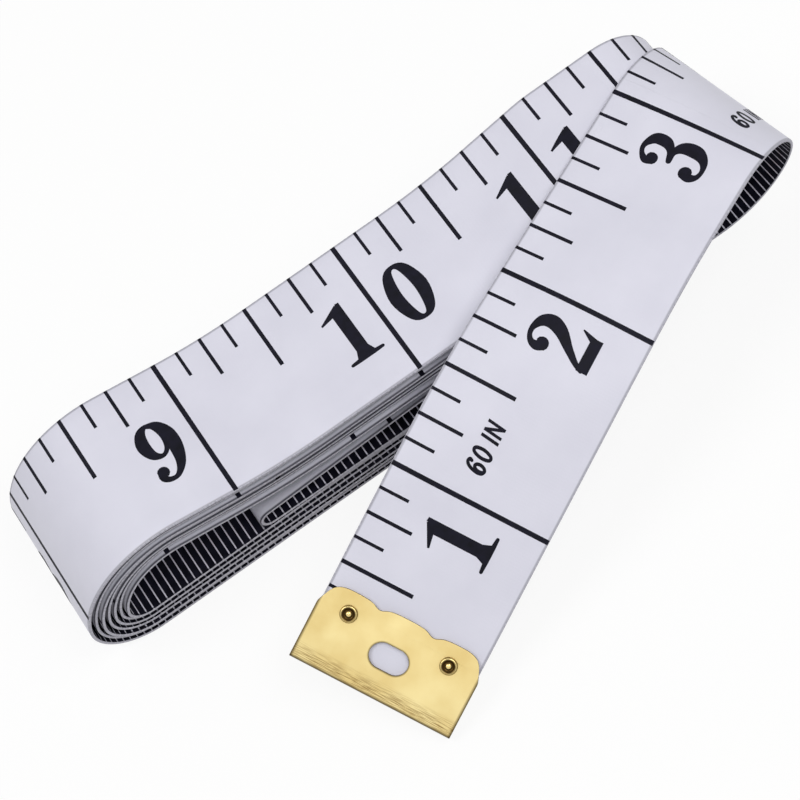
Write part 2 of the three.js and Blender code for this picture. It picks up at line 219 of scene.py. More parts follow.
def on_fold(past, side, up):
    """Points of the fold and of the flat tape on both sides of it. past is measured from its foot."""
    rolled = past * math.cos(fold_turn) + side * math.sin(fold_turn)
    along = past * math.sin(fold_turn) - side * math.cos(fold_turn)
    angle = np.clip(rolled / fold_radius, 0, math.pi)
    flat = rolled - math.pi * fold_radius
    reach = np.minimum(rolled, 0) + (fold_radius + up) * np.sin(angle) - np.maximum(flat, 0)
    plan = fold_foot + reach[:, None] * fold_along + along[:, None] * fold_axis
    z = coil_floor + fold_radius - (fold_radius + up) * np.cos(angle)
    return np.column_stack([plan, z])


def single(point_function, past, side, up):
    return point_function(np.array([past]), np.array([side]), np.array([up]))[0]


# The lead bends down where its far edge has just crossed the coil's near edge
far_edge_y = single(on_fold, lead_length, half_width, 0.0)[1]
crossing = (far_edge_y + half_width + edge_margin) / math.sin(2 * fold_turn)
droop_at = -crossing - half_width * math.tan(droop_turn)
droop_start = single(on_fold, lead_length - droop_at, 0.0, 0.0)
droop_along = np.array(Matrix.Rotation(-droop_turn, 2) @ Vector(lead_heading))
droop_axis = np.array(Matrix.Rotation(-droop_turn - math.pi / 2, 2) @ Vector(lead_heading))


def find_droop_angle():
    """The steepness that sets the lowest corner of the clip just over the table."""
    low, high = 0, droop_steepest
    rolled = droop_at * math.cos(droop_turn) + clip_width / 2 * abs(math.sin(droop_turn))
    for _ in range(droop_halvings):
        middle = (low + high) / 2
        straight = rolled - droop_radius * middle
        drop = droop_radius * (1 - math.cos(middle)) + straight * math.sin(middle)
        if lead_height - drop - clip_half * math.cos(middle) > rest_gap:
            low = middle
        else:
            high = middle
    return low


droop_angle = find_droop_angle()


def on_lead(s, side, up):
    """Points of the loose lead past the droop's start, by the length from the free end."""
    ahead = droop_at - s
    rolled = ahead * math.cos(droop_turn) + side * math.sin(droop_turn)
    along = side * math.cos(droop_turn) - ahead * math.sin(droop_turn)
    angle = np.clip(rolled / droop_radius, 0, droop_angle)
    rest = np.where(rolled < 0, rolled, np.maximum(rolled - droop_radius * droop_angle, 0))
    forward = (droop_radius + up) * np.sin(angle) + rest * np.cos(angle)
    down = droop_radius - (droop_radius + up) * np.cos(angle) + rest * np.sin(angle)
    plan = droop_start[:2] + forward[:, None] * droop_along + along[:, None] * droop_axis
    return np.column_stack([plan, droop_start[2] - down])


# The hinge line, where the frame has its joint, fixes where the path lies in the frame
seam_rolled = math.pi * fold_radius + half_width * math.sin(fold_turn)
hinge_past = seam_rolled / math.cos(fold_turn) + seam_margin + seam_gap / 2
hinge = next(joint for joint in frame["joints"] if joint["name"] == "lead_lift")
pivot = np.array(hinge["pos_m"])
origin = pivot - single(on_fold, hinge_past, 0.0, half_thickness)

# A turn wound by hand slips a little sideways and off its even spacing. It lies true where it is on
# the table, at the fold and at the clip. Each wave is its size and length in millimetres, and phase
side_waves = ((0.16, 61, 0.4), (0.14, 173, 1.9), (0.10, 97, 3.3), (0.05, 29, 0.9))
lift_waves = ((0.07, 23, 0.0), (0.05, 41, 2.1), (0.03, 11, 1.2))
loose_after = 50 * MM             # past the stretch on the table, where the turns are fully loose
firm_from = 60 * MM               # before the tape's inner end, where they get firmer again
firm_to = 20 * MM


def fade(s, begin, finish):
    share = np.clip((s - begin) / (finish - begin), 0, 1)
    return share * share * (3 - 2 * share)


def drift(s, waves):
    """How far the tape lies off its true path, at lengths from its free end."""
    begun = fade(s, coil_s[1], coil_s[1] + loose_after)
    ended = fade(s, inner_end_s - firm_from, inner_end_s - firm_to)
    off = sum(size * MM * np.sin(s / (length * MM) + phase) for size, length, phase in waves)
    return begun * (1 - ended) * off


def lay(points):
    """Flat points (length from the free end, side, height in the thickness) to places in space."""
    s, side, up = np.asarray(points, float).T
    side = side + drift(s, side_waves)
    up = up + drift(s, lift_waves)
    placed = on_coil(s, side, up)
    near_fold = s < lead_length + half_width
    placed[near_fold] = on_fold(lead_length - s[near_fold], side[near_fold], up[near_fold])
    ahead = (droop_at - s) * math.cos(droop_turn) + side * math.sin(droop_turn) > 0
    placed[ahead] = on_lead(s[ahead], side[ahead], up[ahead])
    return placed + origin


# The cloth
# A woven strip, with a smooth white coat on both sides and threads that end in its cut edges. The
# real one is a single strip. Here it is parted just behind the hinge line, into a wound piece and a
# loose one.
cloth_dark = (0.665, 0.66, 0.75)
cloth_light = (0.715, 0.71, 0.80)
edge_dark = (0.31, 0.305, 0.36)
edge_light = (0.58, 0.575, 0.64)
# Painted shade along the coat's borders, strongest between the turns
border_shade_color = (0.05, 0.05, 0.07)
border_from = 9.62                # from the middle line to the coat's border, in millimetres
border_to = 9.82
border_shade_amounts = (0.5, 0.95)      # of the painted shade: on the lead and the outermost turn, and between the turns
between_from = 330                # where the tape goes in under the outermost turn, in millimetres
between_to = 340
cloud_range = (0.3, 0.7)          # the heights of the clouding's noise that its colours stand for
coat_specular = 0.35
weave_strength = 0.12
weave_depth = 0.03 * MM
fibre_strength = 0.4
fibre_depth = 0.04 * MM
edge_rounding = 0.12 * MM
across_steps = 16
edge_steps = 7
corner_steps = 2                  # of them, so many are the corner beside the inch side
run_step = 2.0 * MM
lead_step = 0.75 * MM
touching = 1e-9                   # places as near as this are the same
seam_s = lead_length - hinge_past + seam_behind
seam_row = 0.05 * MM              # a narrow row on both sides of it keeps the shading even
# UV is a share of the tape's length and width, and this turns it into millimetres
tape_scale = (tape_length / MM, tape_width / MM, 1)
thread_scale = (tape_length / MM, 1, 1)


def new_group(name, inputs, outputs):
    """A group of shader nodes, with the sockets inside it by name."""
    group = bpy.data.node_groups.new(name, "ShaderNodeTree")
    for direction, sockets in (("INPUT", inputs), ("OUTPUT", outputs)):
        for socket, kind in sockets.items():
            group.interface.new_socket(socket, in_out=direction, socket_type=f"NodeSocket{kind}")
    return group, group.nodes.new("NodeGroupInput").outputs, group.nodes.new("NodeGroupOutput").inputs


def add_node(tree, kind, sockets=None, **settings):
    """A node with its settings. A socket gets a plain value, or the output that feeds it."""
    node = tree.nodes.new(kind)
    for key, value in settings.items():
        setattr(node, key, value)
    for key, value in (sockets or {}).items():
        if isinstance(value, bpy.types.NodeSocket):
            tree.links.new(value, node.inputs[key])
        else:
            node.inputs[key].default_value = value
    return node


def calculate(tree, operation, *values):
    return add_node(tree, "ShaderNodeMath", dict(enumerate(values)), operation=operation).outputs[0]


def ramp(tree, value, begin, finish, low=0.0, high=1.0):
    """Runs evenly from low to high while the value goes from begin to finish."""
    sockets = {"Value": value, "From Min": begin, "From Max": finish, "To Min": low, "To Max": high}
    return add_node(tree, "ShaderNodeMapRange", sockets).outputs["Result"]


def add_noise(tree, vector, scale, detail=4.0):
    sockets = {"Vector": vector, "Scale": scale, "Detail": detail}
    return add_node(tree, "ShaderNodeTexNoise", sockets).outputs["Fac"]


def blend_colors(tree, amount, low, high):
    mix = add_node(tree, "ShaderNodeMix", {0: amount, 6: low, 7: high}, data_type="RGBA")
    return mix.outputs[2]


def make_mottling():
    """Soft clouding between two colours, and between two roughnesses."""
    group, given, result = new_group(
        "mottling",
        {"Vector": "Vector", "Scale": "Float", "Dark": "Color", "Light": "Color",
         "Glossy": "Float", "Dull": "Float"},
        {"Color": "Color", "Roughness": "Float", "Mask": "Float"},
    )
    amount = ramp(group, add_noise(group, given["Vector"], given["Scale"]), *cloud_range)
    group.links.new(blend_colors(group, amount, given["Dark"], given["Light"]), result["Color"])
    gloss = add_node(group, "ShaderNodeMix", {0: amount, 2: given["Glossy"], 3: given["Dull"]})
    group.links.new(gloss.outputs[0], result["Roughness"])
    group.links.new(amount, result["Mask"])
    return group


mottling = make_mottling()


def new_material(name, coordinates, stretch, sockets):
    """A mottled material: its tree, the scaled place on the piece, the clouding and the shader."""
    material = bpy.data.materials.new(name)
    material.use_nodes = True
    tree = material.node_tree
    place = add_node(tree, "ShaderNodeTexCoord").outputs[coordinates]
    vector = add_node(tree, "ShaderNodeMapping", {"Vector": place, "Scale": stretch}).outputs["Vector"]
    clouds = add_node(tree, "ShaderNodeGroup", {}, node_tree=mottling)
    tree.links.new(vector, clouds.inputs["Vector"])
    for key, value in sockets.items():
        clouds.inputs[key].default_value = (*value, 1) if isinstance(value, tuple) else value
    shader = tree.nodes["Principled BSDF"]
    tree.links.new(clouds.outputs["Color"], shader.inputs["Base Color"])
    tree.links.new(clouds.outputs["Roughness"], shader.inputs["Roughness"])
    return material, tree, vector, clouds.outputs["Mask"], shader


def add_bump(tree, shader, height, strength, distance):
    sockets = {"Height": height, "Strength": strength, "Distance": distance}
    bump = add_node(tree, "ShaderNodeBump", sockets)
    tree.links.new(bump.outputs["Normal"], shader.inputs["Normal"])


def darken(tree, shader, amount, color):
    """Lays a colour over the one that the shader has."""
    base = shader.inputs["Base Color"].links[0].from_socket
    tree.links.new(blend_colors(tree, amount, base, (*color, 1)), shader.inputs["Base Color"])


def cloth_material():
    """White coated cloth: a fine plain weave shows through, and painted shade darkens the borders."""
    clouding = {"Scale": 0.12, "Dark": cloth_dark, "Light": cloth_light, "Glossy": 0.42, "Dull": 0.52}
    material, tree, vector, _, shader = new_material("coated_cloth", "UV", tape_scale, clouding)
    threads = []
    for direction in ("X", "Y"):
        sockets = {"Vector": vector, "Scale": 0.75, "Distortion": 0.6}
        thread = add_node(tree, "ShaderNodeTexWave", sockets, bands_direction=direction)
        threads.append(thread.outputs["Fac"])
    weave = calculate(tree, "MULTIPLY", *threads)
    grain = add_noise(tree, vector, scale=2.5)
    add_bump(tree, shader, calculate(tree, "ADD", weave, grain), weave_strength, weave_depth)
    along, across, _ = add_node(tree, "ShaderNodeSeparateXYZ", {0: vector}).outputs
    off = calculate(tree, "ABSOLUTE", calculate(tree, "SUBTRACT", across, half_width / MM))
    # Painted shade along the coat's borders: light on the lead and the outermost turn, deep between
    # turns
    border = ramp(tree, off, border_from, border_to)
    amount = ramp(tree, along, between_from, between_to, *border_shade_amounts)
    darken(tree, shader, calculate(tree, "MULTIPLY", border, amount), border_shade_color)
    shader.inputs["Specular IOR Level"].default_value = coat_specular
    return material


def edge_material():
    """The cut edge of the cloth: greyer, with the ends of its threads."""
    fibres = {"Scale": 3.2, "Dark": edge_dark, "Light": edge_light, "Glossy": 0.7, "Dull": 0.8}
    material, tree, _, mask, shader = new_material("cut_edge", "UV", thread_scale, fibres)
    add_bump(tree, shader, mask, fibre_strength, fibre_depth)
    return material


cloth = cloth_material()
cut_edge = edge_material()


def new_object(name, vertices, faces, materials, kinds=None, smooth=None):
    mesh = bpy.data.meshes.new(name)
    mesh.from_pydata([tuple(v) for v in vertices], [], faces)
    for material in materials:
        mesh.materials.append(material)
    mesh.polygons.foreach_set("material_index", kinds or [0] * len(faces))
    mesh.polygons.foreach_set("use_smooth", smooth or [False] * len(faces))
    mesh.validate()
    mesh.update()
    piece = bpy.data.objects.new(name, mesh)
    bpy.context.scene.collection.objects.link(piece)
    return piece


def tape_section():
    """The outline of the tape's section: side, height, and what the face is that starts there."""
    flat = half_width - edge_rounding
    inner = half_thickness - edge_rounding
    outline = []
    for hand in (1, -1):
        for i in range(across_steps):
            outline.append((hand * flat * (2 * i / across_steps - 1), hand * half_thickness, "coat"))
        for i in range(edge_steps):
            angle = math.pi / 2 - math.pi * i / edge_steps
            side = flat + edge_rounding * math.cos(angle)
            up = math.copysign(inner, angle) + edge_rounding * math.sin(angle)
            from_inch_side = i if hand > 0 else edge_steps - 1 - i
            face = "corner" if from_inch_side < corner_steps else "cut edge"
            outline.append((hand * side, hand * up, face))
    return outline


def make_tape(name, stations):
    """A closed strip of cloth through the sections at the given lengths."""
    outline = tape_section()
    count = len(outline)
    points = [(s, side, up) for s in stations for side, up, _ in outline]
    faces = []
    kinds = []
    for i in range(len(stations) - 1):
        # Between the turns the painted shade at the coat's border goes round the corner of the cut edge
        corner = 0 if stations[i] > between_from * MM else 1
        slots = {"coat": 0, "cut edge": 1, "corner": corner}
        here = i * count
        there = here + count
        for k in range(count):
            after = (k + 1) % count
            faces.append((here + k, there + k, there + after, here + after))
            kinds.append(slots[outline[k][2]])
    last = (len(stations) - 1) * count
    faces += [tuple(range(count)), tuple(last + k for k in reversed(range(count)))]
    # The two cut ends are shaded flat, or they would shade the faces beside them
    smooth = [True] * len(kinds) + [False, False]
    piece = new_object(name, lay(points), faces, [cloth, cut_edge], [*kinds, 1, 1], smooth)
    uv = piece.data.uv_layers.new(name="UVMap")
    shares = [(s / tape_length, side / tape_width + 0.5) for s, side, _ in points]
    for loop in piece.data.loops:
        uv.data[loop.index].uv = shares[loop.vertex_index]
    return piece


def steps_between(begin, finish, step):
    count = max(1, math.ceil((finish - begin) / step))
    return [begin + (finish - begin) * i / count for i in range(count)]


def coil_stations():
    stations = [seam_s, *steps_between(seam_s + seam_row, lead_length + half_width, lead_step)]
    marks = [lead_length + half_width, *coil_s[1:]]
    for begin, finish in zip(marks, marks[1:]):
        if finish - begin > touching:
            stations += steps_between(begin, finish, run_step)
    return [*stations, inner_end_s]


def bend_about_hinge(piece):
    """Bakes the piece's place into its mesh."""
    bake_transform(piece)


lead_stations = [*steps_between(tape_inset, seam_s - seam_row, lead_step), seam_s - seam_row, seam_s]
tape_wound = make_tape("tape_wound", coil_stations())
tape_loose = make_tape("tape_loose", lead_stations)
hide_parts("tape_coil")
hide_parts("tape_lead")
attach(tape_wound, "coil")
bend_about_hinge(tape_loose)

# The print
# Near-black ink, printed on the coat of both sides: inches and eighths on the outer side, broad
# millimetre bars on the inner one. The numerals are in the manner of a bold slab-serif, drawn as
# strokes of (x, y, width) in shares of their height, and the unit word is in plain letters.
ink_dark = (0.001, 0.001, 0.004)
ink_light = (0.006, 0.0055, 0.014)
ink_skin = 0.014 * MM             # how far it stands out of the cloth
ink_root = 0.02 * MM              # how far it goes in
ink_column = 0.5 * MM             # how finely it is stepped across
stroke_lift = 0.003 * MM          # of each stroke of a glyph over the one before
round_angles = (0.5, 0.95, 1.3, 1.5)
ink_specular = 0.12
inch = 25.4 * MM
first_eighth = 3                  # the clip covers the marks before this one
line_inset = 0.06 * MM            # from the tape's edge
line_step = 1.5 * MM
mark_shares = {1: 0.19, 2: 0.29, 4: 0.46}
mark_thicknesses = {1: 0.39 * MM, 2: 0.43 * MM, 4: 0.5 * MM, 8: 0.6 * MM}
numeral_height = 8.4 * MM
numeral_base = -5.0 * MM          # from the middle line
numeral_before = 4.6 * MM         # from a single digit's middle to its inch line
numeral_astride = 4.2 * MM        # from the inch line to the middle of each of two digits
numeral_steps = 5                 # of a curve between two points of a stroke
hidden_numeral = 13               # from this inch on the numerals lie inside the coil
hidden_steps = 3
glyph_middle = 0.3
unit_height = 2.4 * MM
unit_slope = 0.12
unit_steps = 4
unit_places = ((1.12 * inch, 0.1 * MM), (3.12 * inch, -5.9 * MM))
bar_thickness = 0.83 * MM
bar_reaches = {1: 5.4 * MM, 5: 7.0 * MM, 10: 9.0 * MM}
first_bar = 12
first_centimetre = 2
metric_height = 4.6 * MM
metric_base = -7.0 * MM
metric_spacing = 0.62             # of its digits, in shares of their height
metric_steps = 2

digit_strokes = {
    "0": (
        [(0.30, 0.965, 0.07), (0.43, 0.86, 0.15), (0.50, 0.5, 0.20), (0.43, 0.14, 0.15),
         (0.30, 0.035, 0.07), (0.17, 0.14, 0.15), (0.10, 0.5, 0.20), (0.17, 0.86, 0.15),
         (0.30, 0.965, 0.07)],
    ),
    "1": (
        [(0.32, 0.03, 0.19), (0.32, 0.92, 0.19)],
        [(0.07, 0.035, 0.05), (0.20, 0.04, 0.07), (0.32, 0.05, 0.09), (0.44, 0.04, 0.07),
         (0.57, 0.035, 0.05)],
        [(0.32, 0.06, 0.29), (0.32, 0.20, 0.18)],
        [(0.03, 0.815, 0.03), (0.365, 0.93, 0.135)],
        [(0.37, 0.86, 0.09), (0.385, 1.0, 0.06)],
    ),
    "2": (
        [(0.16, 0.74, 0.20), (0.11, 0.80, 0.14), (0.13, 0.89, 0.09), (0.21, 0.95, 0.07),
         (0.32, 0.955, 0.09), (0.45, 0.88, 0.16), (0.49, 0.74, 0.20), (0.42, 0.57, 0.18),
         (0.26, 0.38, 0.12), (0.13, 0.21, 0.08), (0.07, 0.10, 0.06)],
        [(0.055, 0.085, 0.17), (0.545, 0.085, 0.17)],
        [(0.50, 0.12, 0.10), (0.585, 0.32, 0.02)],
    ),
    "3": (
        [(0.16, 0.77, 0.19), (0.12, 0.84, 0.13), (0.16, 0.91, 0.08), (0.25, 0.96, 0.07),
         (0.35, 0.945, 0.10), (0.46, 0.85, 0.17), (0.46, 0.69, 0.17), (0.37, 0.58, 0.11),
         (0.22, 0.53, 0.08)],
        [(0.22, 0.53, 0.08), (0.37, 0.53, 0.10), (0.48, 0.42, 0.18), (0.49, 0.23, 0.20),
         (0.41, 0.09, 0.13), (0.28, 0.035, 0.07), (0.16, 0.06, 0.08), (0.11, 0.15, 0.14),
         (0.15, 0.23, 0.20)],
    ),
    "4": (
        [(0.42, 0.02, 0.19), (0.42, 0.98, 0.19)],
        [(0.40, 0.96, 0.08), (0.05, 0.30, 0.08)],
        [(0.02, 0.29, 0.09), (0.60, 0.29, 0.09)],
        [(0.25, 0.035, 0.06), (0.60, 0.035, 0.06)],
    ),
    "5": (
        [(0.13, 0.91, 0.15), (0.28, 0.89, 0.17), (0.42, 0.91, 0.13), (0.52, 0.98, 0.04)],
        [(0.13, 0.95, 0.07), (0.11, 0.50, 0.07)],
        [(0.11, 0.52, 0.05), (0.20, 0.60, 0.08), (0.34, 0.60, 0.11), (0.47, 0.50, 0.18),
         (0.49, 0.29, 0.20), (0.41, 0.10, 0.14), (0.28, 0.035, 0.07), (0.16, 0.06, 0.08),
         (0.11, 0.15, 0.13), (0.15, 0.24, 0.18)],
    ),
    "7": (
        [(0.07, 0.76, 0.04), (0.10, 0.86, 0.12), (0.22, 0.91, 0.17), (0.38, 0.89, 0.15),
         (0.54, 0.96, 0.08)],
        [(0.53, 0.95, 0.06), (0.44, 0.74, 0.09), (0.33, 0.50, 0.13), (0.26, 0.27, 0.19),
         (0.24, 0.10, 0.20)],
    ),
    "8": (
        [(0.30, 0.965, 0.07), (0.43, 0.88, 0.13), (0.45, 0.72, 0.15), (0.30, 0.53, 0.12),
         (0.15, 0.72, 0.17), (0.17, 0.88, 0.13), (0.30, 0.965, 0.07)],
        [(0.30, 0.55, 0.12), (0.45, 0.42, 0.15), (0.50, 0.25, 0.18), (0.42, 0.09, 0.13),
         (0.30, 0.035, 0.07), (0.18, 0.09, 0.13), (0.10, 0.25, 0.16), (0.15, 0.42, 0.13),
         (0.30, 0.55, 0.12)],
    ),
    "9": (
        [(0.28, 0.965, 0.07), (0.16, 0.88, 0.15), (0.11, 0.69, 0.19), (0.16, 0.50, 0.14),
         (0.28, 0.43, 0.07), (0.38, 0.51, 0.07), (0.42, 0.69, 0.08), (0.38, 0.88, 0.08),
         (0.28, 0.965, 0.07)],
        [(0.28, 0.965, 0.07), (0.42, 0.90, 0.13), (0.50, 0.72, 0.19), (0.50, 0.48, 0.20),
         (0.44, 0.22, 0.14), (0.32, 0.06, 0.08), (0.20, 0.04, 0.08), (0.12, 0.10, 0.12),
         (0.15, 0.19, 0.18)],
    ),
}
# The 6 is the 9 turned half round
digit_strokes["6"] = tuple(
    [(2 * glyph_middle - x, 1 - y, width) for x, y, width in stroke] for stroke in digit_strokes["9"]
)
letter_strokes = {
    "I": ([(0.15, 0.02, 0.16), (0.15, 0.98, 0.16)],),
    "N": (
        [(0.09, 0.02, 0.15), (0.09, 0.98, 0.15)],
        [(0.10, 0.93, 0.15), (0.52, 0.07, 0.15)],
        [(0.53, 0.02, 0.15), (0.53, 0.98, 0.15)],
    ),
}
# The unit word: each glyph, its place in shares of the height, and its width where it isn't its own
unit_word = (("6", 0.0, 0.17), ("0", 0.68, 0.17), ("I", 1.60, None), ("N", 1.95, None))

ink, _, _, _, ink_shader = new_material(
    "printing_ink", "Object", (1, 1, 1),
    {"Scale": 900.0, "Dark": ink_dark, "Light": ink_light, "Glossy": 0.45, "Dull": 0.6},
)
ink_shader.inputs["Specular IOR Level"].default_value = ink_specular


def stroke_rows(knots, steps):
    """The two borders of a stroke through its knots. A curved one has round ends."""
    path = np.array(knots)
    closed = np.allclose(path[0], path[-1])
    curved = len(path) > 2
    if curved:
        before = path[-2] if closed else 2 * path[0] - path[1]
        beyond = path[1] if closed else 2 * path[-1] - path[-2]
        padded = np.vstack([before, path, beyond])
        smooth = []
        for a, b, c, d in zip(padded, padded[1:], padded[2:], padded[3:]):
            for t in np.arange(steps) / steps:
                cubic = (2 * a - 5 * b + 4 * c - d) * t**2 + (3 * b - a - 3 * c + d) * t**3
                smooth.append(0.5 * (2 * b + (c - a) * t + cubic))
        path = np.vstack([smooth, path[-1]])
    else:
        path = np.linspace(path[0], path[1], 2 * steps)
    heading = np.gradient(path[:, :2], axis=0)
    if curved and closed:
        heading[0] = heading[-1] = path[1, :2] - path[-2, :2]
    heading /= np.linalg.norm(heading, axis=1)[:, None]
    normal = np.column_stack([-heading[:, 1], heading[:, 0]])
    rows = [(p[:2] - n * p[2] / 2, p[:2] + n * p[2] / 2) for p, n in zip(path, normal)]
    if curved and not closed:
        first = round_end(path[0], -heading[0], normal[0])
        rows = [*reversed(first), *rows, *round_end(path[-1], heading[-1], normal[-1])]
    return rows


def round_end(knot, ahead, normal):
    """Rows that close the end of a stroke in a half circle."""
    rows = []
    for angle in round_angles:
        centre = knot[:2] + ahead * knot[2] / 2 * math.sin(angle)
        half = normal * knot[2] / 2 * math.cos(angle)
        rows.append((centre - half, centre + half))
    return rows


class Print:
    """Strips of ink on one face of the tape: facing 1 is the inch side, -1 the millimetre side."""

    def __init__(self, facing):
        self.facing = facing
        self.points = []
        self.faces = []

    def strip(self, rows, lift=0.0):
        """A closed skin through rows of ((s, side), (s, side)), the two borders of a stroke."""
        ring = np.allclose(rows[0], rows[-1], rtol=0, atol=touching)
        if ring:
            rows = rows[:-1]
        left, right = np.array(rows).transpose(1, 0, 2)
        widest = np.linalg.norm(right - left, axis=1).max()
        columns = math.ceil(widest / ink_column)
        section = [(k / columns, half_thickness + ink_skin + lift) for k in range(columns + 1)]
        section += [(1, half_thickness - ink_root), (0, half_thickness - ink_root)]
        first = len(self.points)
        count = len(section)
        for a, b in zip(left, right):
            self.points += [
                (*(a + (b - a) * share), self.facing * level) for share, level in section
            ]
        last = first + count * (len(rows) - 1)
        for i in range(len(rows) if ring else len(rows) - 1):
            here = first + count * i
            there = first if here == last else here + count
            for k in range(count):
                after = (k + 1) % count
                self.faces.append((here + k, here + after, there + after, there + k))
        if not ring:
            self.faces.append(tuple(reversed(range(first, first + count))))
            self.faces.append(tuple(range(last, last + count)))

    def mark(self, s, side_from, side_to, thickness):
        """A straight mark across the tape."""
        count = max(1, math.ceil(abs(side_to - side_from) / line_step))
        rows = []
        for i in range(count + 1):
            side = side_from + (side_to - side_from) * i / count
            rows.append(((s - thickness / 2, side), (s + thickness / 2, side)))
        self.strip(rows)

    def write(self, strokes, s_middle, base, height, steps, even_width=None, slope=0.0):
        """One glyph, with its middle at a length along the tape."""
        for number, stroke in enumerate(strokes):
            knots = [(x, y, even_width or width) for x, y, width in stroke]
            rows = []
            for borders in stroke_rows(knots, steps):
                row = []
                for x, y in borders:
                    s = s_middle + (x - glyph_middle + slope * y) * height
                    row.append((s, self.facing * (base + y * height)))
                rows.append(row)
            self.strip(rows, number * stroke_lift)

    def make(self, name):
        piece = new_object(name, lay(self.points), self.faces, [ink])
        shape = bmesh.new()
        shape.from_mesh(piece.data)
        bmesh.ops.recalc_face_normals(shape, faces=shape.faces)
        shape.to_mesh(piece.data)
        shape.free()
        return piece


def inch_print(first_s, last_s):
    """The inch side between two lengths: eighths from the far edge, numerals and the unit word."""
    page = Print(1)
    edge = half_width - line_inset
    for eighth in range(first_eighth, round(tape_length / inch * 8) - first_eighth + 1):
        s = eighth * inch / 8
        if first_s < s <= last_s:
            size = math.gcd(eighth, 8)
            finish = -edge if size == 8 else half_width - mark_shares[size] * tape_width
            page.mark(s, edge, finish, mark_thicknesses[size])
    for number in range(1, round(tape_length / inch)):
        line = number * inch
        digits = str(number)
        offsets = [-numeral_before] if len(digits) == 1 else [-numeral_astride, numeral_astride]
        if first_s < line <= last_s:
            steps = numeral_steps if number < hidden_numeral else hidden_steps
            for digit, offset in zip(digits, offsets):
                page.write(digit_strokes[digit], line + offset, numeral_base, numeral_height, steps)
    for word_at, base in unit_places:
        if first_s < word_at <= last_s:
            for glyph, place, even_width in unit_word:
                strokes = digit_strokes.get(glyph) or letter_strokes[glyph]
                middle = word_at + (place + glyph_middle) * unit_height
                page.write(strokes, middle, base, unit_height, unit_steps, even_width, unit_slope)
    return page


def millimetre_print(first_s, last_s):
    """The inner side between two lengths: millimetre bars, longer at fives and tens, and numerals."""
    page = Print(-1)
    edge = half_width - line_inset
    for number in range(first_bar, round(tape_length / MM) - first_bar):
        s = number * MM
        if first_s < s <= last_s:
            size = 10 if number % 10 == 0 else 5 if number % 5 == 0 else 1
            page.mark(s, -edge, -half_width + bar_reaches[size], bar_thickness)
    for number in range(first_centimetre, round(tape_length / MM / 10) - first_centimetre + 1):
        line = number * 10 * MM
        if first_s < line <= last_s:
            digits = str(number)
            for i, digit in enumerate(digits):
                offset = (i - (len(digits) - 1) / 2) * metric_spacing * metric_height
                strokes = digit_strokes[digit]
                page.write(strokes, line + offset, metric_base, metric_height, metric_steps)
    return page


print_pieces = {}
for part, first_s, last_s in (("loose", 0.0, seam_s), ("wound", seam_s, inner_end_s)):
    print_pieces[part] = [
        inch_print(first_s, last_s).make(f"inch_print_{part}"),
        millimetre_print(first_s, last_s).make(f"millimetre_print_{part}"),
    ]
for piece in print_pieces["wound"]:
    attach(piece, "coil")
for piece in print_pieces["loose"]:
    bend_about_hinge(piece)

# The clips
# Each end of the tape is held in a piece of thin brass, stamped with three lobes and an oblong
# window, folded over the cloth and pressed flat. The brass is pale and satin, with brown streaks
# along its fold that are partly rubbed marks and partly painted reflection, and with painted shade
# under the fold, at the sides, round the window and on the cut edges. Both are alike, and the inner
# one sits in the eye of the coil.
brass_dark = (0.73, 0.55, 0.22)
brass_light = (0.82, 0.69, 0.345)
# Painted shade: the colours of the brass's cut edges, also laid under the fold, at the sides and round
# the window
rim_shade = (0.05, 0.03, 0.008)
rim_shade_light = (0.17, 0.105, 0.03)
# The streaks are partly rubbed marks and partly painted reflection on the rounded fold
streak_and_reflection_color = (0.22, 0.12, 0.03)
streak_lines = (0.42, 0.6)        # the heights of the scratches' noise that the streaks follow
scratch_stretch = (0.5, 9, 9)
scratch_depth = 0.01 * MM
# In millimetres: where the streaks and the painted shade lie, from the fold, the sides and the window's
# edge
streak_at = 1.0
streak_reach = 1.4
fold_shade_from = 0.22
fold_shade_to = 0.5
side_shade_from = 0.4
side_shade_to = 0.1
window_shade_to = 0.22
shade_and_streak_amount = 0.85
clip_length = 10.2 * MM
shoulder_length = clip_length - 3.0 * MM
lobe_count = 3
lobe_depth = 0.8 * MM
lobe_near_share = 0.12            # of a lobe's width, how far in its sides lean
lobe_rise_share = 0.7             # of its height, how far up its sides are drawn
lobe_steps = 10                   # of half a lobe
valley_reach = 0.9 * MM           # how far the valleys between the lobes are rounded
valley_rounds = 8
window_length = 4.8 * MM
window_width = 3.1 * MM
window_at = 5.1 * MM
window_steps = 40
rivet_radius = 0.7 * MM
rivet_hole_gap = 0.1 * MM
rivet_hole_steps = 24
rivet_side = 3.9 * MM             # from the clip's side
rivet_at = clip_length - 2.6 * MM
clip_fold_steps = 14
clip_edge = 0.06 * MM             # how far its edges are rounded
clip_edge_steps = 3
clip_smooth_below = math.radians(40)
clip_round_above = math.radians(50)
merge_below = 1e-3                # points of a model as near as this, in millimetres, become one
rivet_places = [(hand * (clip_width / 2 - rivet_side), rivet_at) for hand in (-1, 1)]


def make_scratches():
    """Fine lines along X, as a normal and as a mask."""
    group, given, result = new_group(
        "scratches", {"Vector": "Vector", "Strength": "Float"}, {"Normal": "Vector", "Mask": "Float"}
    )
    sockets = {"Vector": given["Vector"], "Scale": scratch_stretch}
    drawn = add_node(group, "ShaderNodeMapping", sockets).outputs["Vector"]
    lines = add_noise(group, drawn, scale=1.0, detail=3.0)
    sockets = {"Height": lines, "Strength": given["Strength"], "Distance": scratch_depth}
    bump = add_node(group, "ShaderNodeBump", sockets)
    group.links.new(bump.outputs["Normal"], result["Normal"])
    group.links.new(lines, result["Mask"])
    return group


scratches = make_scratches()


def vector_length(tree, vector):
    return add_node(tree, "ShaderNodeVectorMath", {0: vector}, operation="LENGTH").outputs["Value"]


